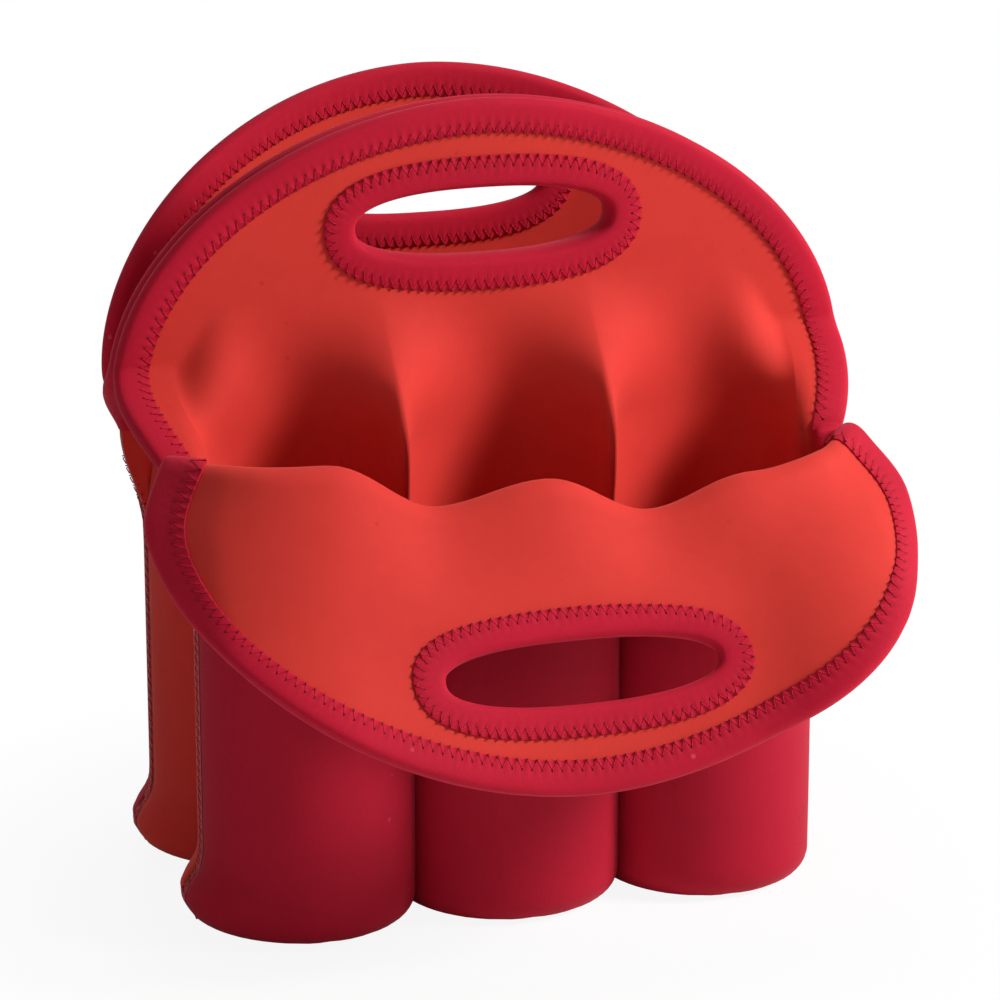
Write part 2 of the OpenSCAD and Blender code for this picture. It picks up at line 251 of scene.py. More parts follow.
def cloth_patch(p, uv, facing, ring=False, normals=None, thick=CLOTH):
    """Front and back grids of a cloth whose middle is the grid p, front towards facing."""
    n = grid_normals(p) if normals is None else normals
    if np.sum(n * np.asarray(facing, float)) < 0:
        n = -n
    return p + n * thick / 2, p - n * thick / 2, uv, ring


def fix(piece, body, slot, *nodes):
    """Makes a piece ride the carrier, or else bakes its transform, and hides the CAD nodes
    that it replaces. slot is not used."""
    if body == "carrier":
        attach(piece, "carrier")
    else:
        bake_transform(piece)
    if nodes:
        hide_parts(*nodes)


print("shell helpers ready")

# %% [markdown]
# The cloth has a fine knitted face, soft and a little furry, with faint mottling and
# tiny specks of lint. One node group works out these for every cloth: it reads the flat
# pattern's UV map, in metres, for the knit, and Object coordinates for the mottling.
# It puts out a colour, a roughness and a height; the shader stays in the material.


# %% The knit group
def rgb(*values):
    """A colour written as screen values from 0 to 255, as linear light."""
    c = np.array(values) / 255
    lin = np.where(c <= 0.04045, c / 12.92, ((c + 0.055) / 1.055) ** 2.4)
    return (*[float(x) for x in lin], 1.0)


class Net:
    """Short calls for adding nodes to one node tree."""

    def __init__(self, tree):
        self.tree = tree

    def add(self, kind, inputs=None, **settings):
        node = self.tree.nodes.new(kind)
        for k, v in settings.items():
            setattr(node, k, v)
        self.put(node, inputs or {})
        return node

    def put(self, node, inputs):
        for k, v in inputs.items():
            if isinstance(v, bpy.types.NodeSocket):
                self.tree.links.new(v, node.inputs[k])
            else:
                node.inputs[k].default_value = v

    def math(self, kind, a, b=0.0, c=0.0):
        return self.add("ShaderNodeMath", {0: a, 1: b, 2: c}, operation=kind).outputs[0]

    def mix(self, fac, a, b, how="MIX"):
        node = self.add("ShaderNodeMix", data_type="RGBA", blend_type=how)
        self.put(node, {0: fac, 6: a, 7: b})
        return node.outputs[2]

    def span(self, value, a, b, c=0.0, d=1.0):
        return self.add(
            "ShaderNodeMapRange", {0: value, 1: a, 2: b, 3: c, 4: d}, clamp=True
        ).outputs[0]


def new_group(name, inputs, outputs):
    """An empty node group with named sockets, and its Net, group input and group output."""
    group = bpy.data.node_groups.new(name, "ShaderNodeTree")
    for socket, kind, value in inputs:
        made = group.interface.new_socket(socket, in_out="INPUT", socket_type=kind)
        if value is not None:
            made.default_value = value
    for socket, kind in outputs:
        group.interface.new_socket(socket, in_out="OUTPUT", socket_type=kind)
    net = Net(group)
    return group, net, net.add("NodeGroupInput"), net.add("NodeGroupOutput")


COLOUR, NUMBER, VECTOR = "NodeSocketColor", "NodeSocketFloat", "NodeSocketVector"
knit_group, net, inp, out = new_group(
    "Knitted face",
    [
        ("Pattern", VECTOR, None),
        ("Place", VECTOR, None),
        ("Colour", COLOUR, (0.5, 0.1, 0.1, 1)),
        ("Deep", COLOUR, (0.3, 0.05, 0.05, 1)),
        ("Lint", COLOUR, (0.8, 0.3, 0.3, 1)),
        ("Mottle", NUMBER, 0.5),
        ("Lint amount", NUMBER, 0.5),
    ],
    [("Colour", COLOUR), ("Roughness", NUMBER), ("Height", NUMBER)],
)
pattern, place = inp.outputs["Pattern"], inp.outputs["Place"]
wales = net.add(
    "ShaderNodeTexWave",
    {"Vector": pattern, "Scale": 620.0, "Distortion": 1.6, "Detail": 1.0, "Detail Scale": 2.0},
    bands_direction="X",
).outputs["Fac"]
courses = net.add(
    "ShaderNodeTexWave",
    {"Vector": pattern, "Scale": 520.0, "Distortion": 2.4, "Detail": 1.0, "Detail Scale": 1.5},
    bands_direction="Y",
).outputs["Fac"]
loops = net.math("MULTIPLY", wales, net.math("MULTIPLY_ADD", courses, 0.6, 0.4))
fuzz, broad, fine = [
    net.add("ShaderNodeTexNoise", {"Vector": place, "Scale": size, "Detail": detail}).outputs["Fac"]
    for size, detail in ((900.0, 3.0), (24.0, 3.0), (160.0, 2.0))
]
lint_cell = net.add("ShaderNodeTexVoronoi", {"Vector": place, "Scale": 120.0})
lint_near = net.span(lint_cell.outputs["Distance"], 0.05, 0.12, 1.0, 0.0)
lint_pick = net.add("ShaderNodeSeparateColor", {0: lint_cell.outputs["Color"]}).outputs[0]
lint_few = net.math("GREATER_THAN", lint_pick, 0.86)
lint = net.math("MULTIPLY", net.math("MULTIPLY", lint_near, lint_few), inp.outputs["Lint amount"])
slow = net.math("MULTIPLY", net.span(broad, 0.3, 0.7), 0.65)
uneven = net.math("MULTIPLY_ADD", net.span(fine, 0.3, 0.7), 0.35, slow)
shade = net.math("MULTIPLY", uneven, inp.outputs["Mottle"])
gap = net.math("MULTIPLY_ADD", net.math("SUBTRACT", 1.0, loops), 0.05, shade)
colour = net.mix(gap, inp.outputs["Colour"], inp.outputs["Deep"])
colour = net.mix(lint, colour, inp.outputs["Lint"])
height = net.math("MULTIPLY_ADD", fuzz, 0.6, loops)
net.put(out, {
    "Colour": colour,
    "Roughness": net.math("MULTIPLY_ADD", fuzz, 0.2, 0.68),
    "Height": net.math("MULTIPLY_ADD", lint, 1.2, height),
})
print("group", knit_group.name, "has", len(knit_group.nodes), "nodes")


# %% [markdown]
# Knitted cloth scatters light at its rim, so each cloth has a little sheen of its own
# colour. The outer face is crimson and the inner face orange-red.

# %% The cloths
def new_material(name, shine=0.25, sheen=0.3, sheen_tint=(1, 1, 1, 1), sheen_rough=0.45):
    """A material with a Principled shader, its plain numbers set on the shader's sockets."""
    made = bpy.data.materials.new(name)
    made.use_nodes = True
    net, shader = Net(made.node_tree), made.node_tree.nodes["Principled BSDF"]
    net.put(shader, {
        "Specular IOR Level": shine, "Sheen Weight": sheen, "Sheen Roughness": sheen_rough,
        "Sheen Tint": sheen_tint,
    })
    return made, net, shader


def knitted(
    name, colour, deep, lint, mottle=0.3, lint_amount=0.6, bump=0.35, sheen=0.3, tint=(1, 1, 1, 1)
):
    """A knitted cloth that wears the knit group."""
    made, net, shader = new_material(name, sheen=sheen, sheen_tint=tint)
    group = net.add("ShaderNodeGroup", node_tree=knit_group)
    uv = net.add("ShaderNodeUVMap", uv_map="pattern").outputs[0]
    place = net.add("ShaderNodeTexCoord").outputs["Object"]
    net.put(group, {
        "Pattern": uv, "Place": place, "Colour": colour, "Deep": deep, "Lint": lint,
        "Mottle": mottle, "Lint amount": lint_amount,
    })
    bumped = net.add(
        "ShaderNodeBump", {"Strength": bump, "Distance": 0.0002, "Height": group.outputs["Height"]}
    )
    net.put(shader, {
        "Base Color": group.outputs["Colour"], "Roughness": group.outputs["Roughness"],
        "Normal": bumped.outputs[0],
    })
    return made


crimson = knitted(
    "crimson knit", rgb(184, 6, 42), rgb(156, 4, 34), rgb(214, 70, 92),
    mottle=0.4, lint_amount=0.5, bump=0.1, sheen=0.1, tint=(1, 0.35, 0.45, 1),
)
orange = knitted(
    "orange-red knit", rgb(222, 56, 46), rgb(196, 38, 34), rgb(170, 32, 32),
    mottle=0.3, lint_amount=0.35, bump=0.1, sheen=0.12, tint=(1, 0.55, 0.45, 1),
)
foam_rim = knitted(
    "cut rim", rgb(190, 40, 44), rgb(150, 20, 34), rgb(200, 60, 60), lint_amount=0.2, bump=0.5
)
binding = knitted(
    "binding tape", rgb(200, 6, 46), rgb(168, 4, 36), rgb(222, 80, 104),
    mottle=0.45, lint_amount=0.6, bump=0.16, sheen=0.14, tint=(1, 0.4, 0.5, 1),
)


# %% [markdown]
# Sewing thread is two plies twisted together. Its twist is drawn with slanted bands
# across a UV map that runs along the thread. Where the thread dives into a needle hole its
# colour is darkened, which is painted shade.

# %% The thread
def threads(name, colour, deep, hole):
    """Twisted thread: slanted bands on a UV map, which bump and darken its plies. The map's
    V is 1 where the thread dives into a needle hole, and there it is darkened towards hole,
    which is painted shade of the needle hole."""
    made, net, shader = new_material(name, shine=0.25, sheen=0.0)
    uv = net.add("ShaderNodeUVMap", uv_map="pattern").outputs[0]
    turned = net.add(
        "ShaderNodeMapping", {"Vector": uv, "Scale": (1, 0.0004, 1), "Rotation": (0, 0, 0.6)}
    ).outputs[0]
    ply = net.add(
        "ShaderNodeTexWave", {"Vector": turned, "Scale": 500.0, "Distortion": 0.5},
        bands_direction="X",
    ).outputs["Fac"]
    # needle: where the thread dives into a needle hole, painted shade of the hole
    needle = net.span(net.add("ShaderNodeSeparateXYZ", {0: uv}).outputs[1], 0.1, 0.7)
    plies = net.mix(net.math("MULTIPLY_ADD", ply, 0.6, 0.4), deep, colour)
    bumped = net.add("ShaderNodeBump", {"Strength": 0.5, "Distance": 0.0001, "Height": ply})
    net.put(shader, {
        "Base Color": net.mix(needle, plies, hole),
        "Roughness": net.span(ply, 0, 1, 0.62, 0.5),
        "Normal": bumped.outputs[0],
    })
    return made


# The third colour of each thread is the painted shade of its needle holes.
dark_thread = threads("dark crimson thread", rgb(204, 12, 52), rgb(184, 8, 44), rgb(120, 2, 28))
seam_thread = threads("seam thread", rgb(184, 20, 40), rgb(150, 12, 32), rgb(112, 8, 24))
print("materials", [m.name for m in bpy.data.materials])

# %% [markdown]
# Each row of pockets is two sheets sewn together along four upright seams, so a filled
# row is three round tubes that press against each other at sharp grooves. Across the
# row, the depth of the cloth from the seam is a half ellipse over each pocket. The foot
# of a pocket is rounded from its bottom seam up to the upright wall.


# %% Section and foot of a row
def depth(x, power=0.5):
    """Depth of the cloth from the seam plane: 1 + 31.75 (1 - (l / 35.25)^2)^p, where l is
    the distance to the pocket's middle; beyond the row it is the flat margin's 1. With
    p = 1/2 it is round with sharp grooves, and with more the grooves are soft."""
    l = np.abs(x - PITCH * np.clip(np.round(x / PITCH), -1, 1))
    return 1.0 + (R_MID - 1.0) * np.clip(1 - (l / (PITCH / 2)) ** 2, 0, 1) ** power


def row_columns(per_pocket=30, margin=4):
    """Columns along a row, close together at the grooves, and their distance along the
    cloth. A column is where the sine of an even angle puts it."""
    t = np.radians(np.linspace(-90, 90, per_pocket + 1))
    x = np.concatenate([i * PITCH + PITCH / 2 * np.sin(t)[(i > -1):] for i in (-1, 0, 1)])
    along = np.concatenate([i * np.pi * 33 + 33 * t[(i > -1):] for i in (-1, 0, 1)])
    step = (MARGIN_X - ROW_END) * np.arange(1, margin + 1) / margin
    x = np.concatenate([-ROW_END - step[::-1], x, ROW_END + step])
    along = np.concatenate([along[0] - step[::-1], along, along[-1] + step])
    return x, along


def widened(x, edge):
    """x with the flat margins beyond the row stretched to end at edge, and how far into
    its margin each place is."""
    share = np.clip((np.abs(x) - ROW_END) / (MARGIN_X - ROW_END), 0, 1)
    return np.where(share > 0, np.sign(x) * (ROW_END + share * (edge - ROW_END)), x), share


def foot_rows(x, count):
    """Rows of a pocket's foot, from its bottom seam to where the wall is upright. The
    height above the ground follows a circle of radius FOOT_R from the pocket's axis out:
    z = R - sqrt(R^2 - (rho - (r - R))^2). Returns depth and height, rows by columns."""
    r, flat = PITCH / 2, PITCH / 2 - FOOT_R
    l = np.clip(np.abs(x - PITCH * np.clip(np.round(x / PITCH), -1, 1)), 0, r)
    start = 0.93 * l
    round_part = FOOT_R * np.arcsin(np.clip((start - flat) / FOOT_R, 0, 1))
    q0 = np.where(start < flat, start, flat + round_part)
    q1 = flat + FOOT_R * np.pi / 2
    q = q0 + (q1 - q0) * np.linspace(0, 1, count)[:, None]
    turn = np.clip((q - flat) / FOOT_R, 0, None)
    rho = np.where(q < flat, q, flat + FOOT_R * np.sin(turn))
    z = CLOTH / 2 + FOOT_R * (1 - np.cos(turn))
    share = np.sqrt(np.clip((rho**2 - start**2) / (r**2 - start**2), 0, 1))
    return 0.4 + (depth(x) - 0.4) * share, z


def sag(p, phase):
    """The small liveliness of soft cloth: slow waves under a millimetre, and the corner
    that stands out at the foot of the left side seam."""
    x, z = p[..., 0], p[..., 2]
    wave = 0.5 * np.sin(x / 23 + z / 31 + phase) * np.sin(z / 37 + 1.3 * phase)
    wave = wave * rise((z - 15) / 30)
    ear = 6.5 * np.exp(-(((z - 11) / 7.5) ** 2)) * rise((-x - 84) / 22)
    wave = wave * (1 - rise((z - 105) / 25))
    moved = p.copy()
    low = 1 - rise((z - 105) / 40)
    moved[..., 0] += np.interp(x, [-108, -35, 35, 108], [1.2, -2.0, -2.0, -4.6]) * low - ear
    moved[..., 1] += wave * rise((np.abs(depth(x)) - 4) / 12)
    return moved


# %% [markdown]
# The front outer sheet leaves its round walls at the mouth and folds forward over a wavy
# line, the crest. The flap beyond it is one surface: a place `s` down the flap first
# turns round the fold, and then hangs straight at its lean, which grows to the sides.

# %% Crest and flap
ROOT_Y = 4.2
CREST_X = [-125, -100, -75, -35, 0, 35, 70, 100, 125]
CREST_Z = [6.5, 7.5, 7.5, 1.0, -3.0, -6.0, -6.5, -3.5, -1.0]


def crest_change(x):
    """How much higher or lower than the even pattern the crest lies: smooth steps between
    the listed places."""
    x = np.asarray(x, float)
    k = np.clip(np.searchsorted(CREST_X, x) - 1, 0, len(CREST_X) - 2)
    a, b = np.take(CREST_X, k), np.take(CREST_X, k + 1)
    za, zb = np.take(CREST_Z, k), np.take(CREST_Z, k + 1)
    return za + (zb - za) * rise((x - a) / (b - a))


def fold_line(x):
    """y of the fold: straight over the pockets, then a parabola back to the side seams."""
    beyond = np.clip(np.abs(x) - PITCH, 0, None)
    back = 24 * (beyond / (ARCH_A - PITCH)) ** 2 + 4.5 * rise((np.abs(x) - 104) / 18)
    return -SEAM_Y - R_MID + 3.5 + back


def fold_wave(x):
    """How far the crest dips over the seams between pockets: 5 (1 - cos(2 pi x / pitch))."""
    return np.where(np.abs(x) < PITCH, 5 * (1 - np.cos(2 * np.pi * x / PITCH)), 0)


def flap_at(x, s):
    """Middle of the flap's cloth at x across and s down from the fold. It turns by an angle
    b = s / r round a fold of radius r = 6.5, then runs straight at the lean. For s below 0
    it rounds a quarter ellipse back to the top of the pocket wall."""
    lean = np.radians(FLAP_LEAN + 16 * (x / ARCH_A) ** 2)
    turn = np.pi / 2 - lean
    b = np.clip(s / FOLD_R, 0, turn)
    rest = np.clip(s - FOLD_R * turn, 0, None)
    back = np.clip(-s / FOLD_ROOT, 0, 1) * np.pi / 2
    below = np.clip(-s - FOLD_ROOT, 0, None)
    top = FOLD_TOP - (fold_wave(x) - crest_change(x)) * (1 - rise(s / 55))
    y = fold_line(x) - ROOT_Y - FOLD_R * np.sin(b) - rest * np.sin(lean) + ROOT_Y * np.sin(back)
    z = top - FOLD_R * (1 - np.cos(b)) - rest * np.cos(lean)
    z = z - FOLD_ROOT * (1 - np.cos(back)) - below
    y = y - 14 * rise((x - 50) / 66) * rise(s / 42)
    z = z + 4.5 * rise((s - 30) / 77) + 1.0 * rise((x - 50) / 66) * rise(s / 42)
    out = tuck(x, s, np.where(x < 0, 4.0, 5.5), 26)
    out = out - 2.6 * rise((-x - 60) / 55) * rise(s / 30) + 1.5 * rise((s - 35) / 40)
    return np.stack([out + 0 * s, y, z], -1)


left_dip = flap_at(np.array(-PITCH / 2), np.array(0.0))
print("crest from", round(float(left_dip[2]), 1), "mm at its left dip")

# %% [markdown]
# The outer sheets. A column of the front one runs from the bottom seam, round the foot,
# up the wall and on to the top of the mouth, where the flap's fold takes over. From the
# round part to the mouth it follows a cubic Bezier curve that is upright at both ends.


# %% Outer sheets
ends = []


def match_end(p, f, u, v):
    """Normals of a grid whose last row takes those of the surface f(u, v) that goes on
    from it, so that the two cloths meet without a step."""
    n = grid_normals(p)
    last = function_normals(f, u, v)
    n[-1] = last * np.sign(np.sum(last * n[-2]))
    return n


def wall_grid(side, top, top_v, phase):
    """Middle of an outer sheet, rows by columns, and its normals. side is -1 at the front
    and 1 at the rear, and top(x, top_v) gives the last point of each column."""
    x, along = row_columns()
    d, z = foot_rows(x, FOOT_ROWS)
    foot = np.stack([x + 0 * d, side * (SEAM_Y + d), z], -1)
    levels = np.linspace(FOOT_R + 4.5, ROUND_H, 34)
    wall = np.stack(np.broadcast_arrays(x, side * (SEAM_Y + depth(x)), levels[:, None]), -1)
    x_top = widened(x, CORNER_X)[0]
    top_v = np.full_like(x, top_v)
    end = top(x_top, top_v)
    ends.append(x_top)
    v = np.linspace(0, 1, 22)[1:, None, None]
    low = wall[-1]
    below, above = low + [0, 0, 12.0], end - [0, 0, 12.0]
    mouth = low * (1 - v) ** 3 + below * 3 * v * (1 - v) ** 2
    mouth = mouth + above * 3 * v**2 * (1 - v) + end * v**3
    up = rise((mouth[..., 2] - ROUND_H) / (end[:, 2] - ROUND_H))
    mouth[..., 0] = low[:, 0] + (end[:, 0] - low[:, 0]) * up
    p = np.concatenate([foot, wall, mouth])
    uv = np.stack(np.broadcast_arrays(along / 1000, run_length(p) / 1000), -1)
    p = sag(p, phase)
    return p, uv, match_end(p, top, x_top, top_v)


def rear_line(x):
    """y of the rear handle, a parabola that is bowed forward at its sides."""
    return REAR_Y - REAR_BOW * (x / ARCH_A) ** 2


def rear_at(x, z):
    """Middle of the rear handle: upright, bowed forward at its sides, with its foot's ends
    drawn in and its outline a little narrower than the pattern."""
    u = tuck(x, z - BACK_H, 6.0, 20) * (1 - 0.042 * rise((z - BACK_H + 20) / 40))
    return np.stack([u + 0 * z, rear_line(x) + 0 * z, z + 0 * x], -1)


for word, side, top, top_v, phase in (
    ("front", -1, flap_at, -FOLD_ROOT, 0.7),
    ("rear", 1, rear_at, BACK_H, 2.1),
):
    grid, uv, normals = wall_grid(side, top, top_v, phase)
    patch = cloth_patch(grid, uv, (0, side, 0), False, normals)
    walls = shell_mesh(word + "_pocket_walls", [patch], [crimson, orange, foam_rim])
    fix(walls, "carrier", "crimson_cloth", word + "_outer_sheet", word + "_mouth")
    print(word, "wall points", grid.shape)

# %% [markdown]
# The inner sheets make the pockets' backs. They are the same half tubes turned towards
# the other row, orange-red on both faces, and at the top of the walls they go on as the
# middle handle.


# %% Inner sheets
def foot_at(x, z, side):
    """Middle of a layer of the middle handle. At the pocket backs it follows the row's
    section; above them the grooves round off, and their depth fades out by z = 205."""
    span = 55 - 23 * rise((np.abs(x) - 85) / 20)
    left = 1 - rise((z - BACK_H) / span)
    d = depth(x, 0.5 + 1.1 * rise((z - BACK_H) / 36))
    u = tuck(x, z - BACK_H, 5.5, 24)
    return np.stack([u + 0 * z, side * (LAYER_Y + left * (R_MID - d)), z + 0 * x], -1)


def layer_at(side):
    """The surface of one layer of the middle handle, as a function of x and z."""
    return lambda x, z: foot_at(x, z, side)


def back_grid(side, phase):
    """Middle of an inner sheet up to the foot of the middle handle. side is -1 for the
    front row, whose inner sheet bulges back towards the middle of the bag."""
    x, along = row_columns()
    d, z = foot_rows(x, FOOT_ROWS)
    x_top, flare = widened(x, CORNER_X)
    foot = np.stack([x - 0.5 * np.sign(x) * flare + 0 * d, side * (SEAM_Y - d), z], -1)
    levels = np.linspace(FOOT_R + 4.5, BACK_H, 46)[:, None]
    drawn = (tuck(x_top, 0, 5.5, 24) - x) * rise((levels - ROUND_H) / (BACK_H - ROUND_H))
    drawn = drawn - 0.5 * np.sign(x) * flare * (1 - rise((levels - ROUND_H) / 30))
    wall = np.stack(np.broadcast_arrays(x + drawn, side * (SEAM_Y - depth(x)), levels), -1)
    p = np.concatenate([foot, wall])
    uv = np.stack(np.broadcast_arrays(along / 1000, run_length(p) / 1000), -1)
    p = sag(p, phase)
    n = match_end(p, layer_at(side), x_top, np.full_like(x, BACK_H))
    return p, uv, n


for side, word in ((-1, "front"), (1, "rear")):
    grid, uv, normals = back_grid(side, 1.1 + side)
    patch = cloth_patch(grid, uv, (0, -side, 0), False, normals)
    backs = shell_mesh(word + "_pocket_backs", [patch], [orange, orange, foam_rim])
    fix(backs, "carrier", "orange_cloth", word + "_inner_sheet")
print("inner sheets", grid.shape)

# %% [markdown]
# The middle handle is two layers back to back. Each rises from the curved pocket backs,
# whose grooves soften and fade out as the cloth gathers into a flat panel, and has an
# arched edge and a grip hole. Its lower part is a plain grid; above it, rings of points
# lead from the hole to the outline. The two grids are welded along their shared line.


# %% Outlines and rings
def arch_angle(v):
    """Angle at which an arch outline passes a height v above its widest place."""
    return np.arcsin(spow(v / ARCH_B, ARCH_N / 2))


def arch_line(foot, c, count):
    """Arch outline from its left foot over the top to its right foot, evenly spaced along
    its length. The outline is x = a cos^(2/n), v = c + b sin^(2/n)."""
    t0 = arch_angle(foot - c)
    t = np.linspace(np.pi - t0, t0, 4000)
    x = ARCH_A * spow(np.cos(t), 2 / ARCH_N)
    v = c + ARCH_B * spow(np.sin(t), 2 / ARCH_N)
    return even(np.stack([x, v], -1), count)


def even(path, count, closed=False, seam=0.0):
    """Points evenly spaced along a path, by its length, or by the length of the line that
    runs beside it at the distance seam."""
    if closed:
        path = np.concatenate([path, path[:1]])
    t = tangents(path, False)
    beside = path + np.stack([t[:, 1], -t[:, 0]], -1) * seam
    at = run_length(beside)
    to = np.linspace(0, at[-1], count + 1 if closed else count)
    made = np.stack([np.interp(to, at, path[:, k]) for k in range(path.shape[1])], -1)
    return made[:-1] if closed else made


def grip_line(w, h, c, count):
    """Outline of a grip hole: |2x/w|^n + |2v/h|^n = 1 about the height c, anticlockwise
    from its right end."""
    t = np.linspace(0, 2 * np.pi, 4001)[:-1]
    x = w / 2 * spow(np.cos(t), 2 / GRIP_N)
    v = c + h / 2 * spow(np.sin(t), 2 / GRIP_N)
    return even(np.stack([x, v], -1), count, True, SEAM_IN)


def towards(outline, w, h, c):
    """Points of a grip hole, each on the ray from its middle to a point of the outline."""
    d = outline - [0, c]
    k = np.abs(d[:, 0] * 2 / w) ** GRIP_N + np.abs(d[:, 1] * 2 / h) ** GRIP_N
    k = k ** (1 / GRIP_N)
    return d / k[:, None] + [0, c]


def rings(hole, outline, steps):
    """Rings of pattern points from a hole to an outline."""
    k = np.asarray(steps)[:, None, None]
    return hole * (1 - k) + outline * k


def handle_patches(f, foot, c, w, hole_c, rows, facing, columns):
    """Front and back grids of a handle above a foot line: rings from its hole to its arch
    and its foot. columns are the places along the foot line, left to right."""
    arch = arch_line(foot, c, ARCH_POINTS)
    low = np.stack([columns, np.full_like(columns, foot)], -1)
    loop = np.concatenate([arch[::-1][:-1], low[:-1]])[::-1]
    hole = towards(loop, w, GRIP_H, hole_c)
    grid = rings(hole, loop, rows)
    u, v = grid[..., 0], grid[..., 1]
    return cloth_patch(f(u, v), grid / 1000, facing, True, function_normals(f, u, v))


def layer_patches(side):
    """The two grids of one layer of the middle handle."""
    f = layer_at(side)
    x = row_columns()[0]
    z = BACK_H + (HANDLE_CUT - BACK_H) * np.linspace(0, 1, 26)[:, None]
    u = widened(x + 0 * z, arch_half(z - ARCH_Z))[0]
    v = z + 0 * x
    facing = (0, side, 0)
    uv = np.stack([u, v], -1) / 1000
    lower = cloth_patch(f(u, v), uv, facing, False, function_normals(f, u, v))
    upper = handle_patches(
        f, HANDLE_CUT, ARCH_Z, GRIP_W, GRIP_Z, np.linspace(0, 1, 18), facing, u[-1]
    )
    return [lower, upper]


for side, name, nodes in (
    (-1, "middle_front_layer", ("middle_front_foot", "middle_front_panel")),
    (1, "middle_rear_layer", ("middle_rear_foot", "middle_rear_panel")),
):
    layer = shell_mesh(name, layer_patches(side), [orange, orange, foam_rim])
    fix(layer, "middle_handle", "orange_cloth", *nodes)
    print(name, len(layer.data.vertices), "points")

# %% [markdown]
# The rear handle and the front flap are one sheet each, from their fold to their arch.
# The flap's rings crowd together near its fold, where the cloth turns over the crest.

# %% Rear handle and flap
rear = shell_mesh(
    "rear_handle_sheet",
    [handle_patches(
        rear_at, BACK_H, ARCH_Z, GRIP_W, GRIP_Z, np.linspace(0, 1, 30), (0, 1, 0), ends[1]
    )],
    [crimson, orange, foam_rim],
)
fix(rear, "rear_handle_body", "crimson_cloth", "rear_handle")


def flap_patches():
    """Rings of the flap from its grip hole to its arch and to the root of its fold. Past
    the arch's foot the outline runs straight down the fold's root."""
    arch = arch_line(0.0, FLAP_S, 190)
    down = np.linspace(0, -FOLD_ROOT, 7)[1:-1]
    right = np.stack([np.full_like(down, CORNER_X), down], -1)
    arch[0, 0], arch[-1, 0] = -CORNER_X, CORNER_X
    cols = ends[0]
    low = np.stack([cols, np.full_like(cols, -FOLD_ROOT)], -1)
    loop = [low[:-1], [[CORNER_X, -FOLD_ROOT]], right[::-1], arch[::-1], right * [-1, 1]]
    loop = np.concatenate(loop)
    hole = towards(loop, FLAP_GRIP_W, GRIP_H, FLAP_GRIP_S)
    steps = 1 - (1 - np.linspace(0, 1, 46)) ** 1.35
    grid = rings(hole, loop, steps)
    u, v = grid[..., 0], grid[..., 1]
    normals = function_normals(flap_at, u, v)
    return [cloth_patch(flap_at(u, v), grid / 1000, (0, -1, 0.3), True, normals)]


flap = shell_mesh("front_flap_sheet", flap_patches(), [orange, crimson, foam_rim])
fix(flap, "front_flap_body", "orange_cloth", "front_flap")
print("flap", len(flap.data.vertices), "points")

# %% [markdown]
# Binding tape is a knitted band folded over the cut edge and held by a zigzag seam. Its
# section is a U with a round back. Carried along the edge in pattern space and then laid
# on the sheet's surface, it follows every turn of the cloth. The seam pulls the tape in
# a little at each stitch.


# %% Tapes
def tape_section(half, count=9):
    """Section of a folded tape as (distance in from the edge, height along the normal),
    outer face and inner face: two straight legs and a half ellipse round the edge."""
    o, h = half + 0.3 + TAPE_T, half + 0.12
    legs = np.linspace(TAPE_W, 1.0, 7)
    t = np.radians(np.linspace(-90, 90, count)[1:-1])
    bow = 0.25 * np.sin(np.pi * legs / TAPE_W)
    outer = np.concatenate([
        np.stack([legs, -(o + bow)], -1),
        np.stack([1.0 - (RIM + 1.0) * np.cos(t), o * np.sin(t)], -1),
        np.stack([legs[::-1], (o + bow[::-1])], -1),
    ])
    inner = np.concatenate([
        np.stack([legs, np.full_like(legs, -h)], -1),
        np.stack([1.0 - (RIM + 0.55) * np.cos(t), h * np.sin(t)], -1),
        np.stack([legs[::-1], np.full_like(legs, h)], -1),
    ])
    outer[0, 1] += 0.35
    outer[-1, 1] -= 0.35
    return outer, inner


def across(path, closed, level):
    """Unit direction inward across a path of the pattern, its left-hand side. An open
    path's ends may be cut level."""
    t = tangents(path, closed)
    n = np.stack([t[:, 1], -t[:, 0]], -1)
    if level and not closed:
        w = np.zeros(len(path))
        w[:6] = 1 - np.arange(6) / 6
        w[-6:] = (np.arange(6) + 1) / 6
        slope = np.where(np.abs(t[:, 1]) < 0.3, 0.3, t[:, 1])
        flat = np.stack([np.sign(n[:, 0]) * np.abs(1 / slope), 0 * w], -1)
        n = n * (1 - w[:, None]) + flat * w[:, None]
    return n


def lay(f, path, normal_in, q, h):
    """Points on a surface f at q inward from a path of its pattern and h along its normal."""
    p = path + normal_in * np.asarray(q)[..., None]
    n = function_normals(f, p[..., 0], p[..., 1])
    return f(p[..., 0], p[..., 1]) + n * np.asarray(h)[..., None]


def seam_run(f, path, inward, closed):
    """Length along a tape's seam on the surface f, at each point of its path, and in all."""
    seam = path + inward * SEAM_IN
    surface = f(seam[:, 0], seam[:, 1])
    run = run_length(surface)
    return run, run[-1] + (np.linalg.norm(surface[0] - surface[-1]) if closed else 0)


def tape_piece(name, f, path, half, closed):
    """Binding tape along a path of the pattern of surface f, pinched at its stitches."""
    inward = across(path, closed, True)
    outer, inner = tape_section(half)
    length, total = seam_run(f, path, inward, closed)
    turns = int(round(total / STITCH)) / total
    pull = 0.15 * (1 + np.cos(2 * np.pi * length * turns))
    grids = []
    for k, section in enumerate((outer, inner)):
        q = section[:, :1] + 0 * pull
        h = section[:, 1:] + 0 * pull
        if k == 0:
            near_seam = np.exp(-((section[:, :1] - 8.5) / 2.6) ** 2)
            h = h - np.sign(h) * near_seam * pull
            q = q - 0.6 * np.exp(-((section[:, :1] - TAPE_W) / 0.8) ** 2) * pull
        grids.append(lay(f, path[None], inward[None], q, h))
    run = run_length(outer)
    uv = np.stack(np.broadcast_arrays(length / 1000, run[:, None] / 1000), -1)
    return shell_mesh(name, [(grids[0], grids[1], uv, closed)], [binding] * 3)

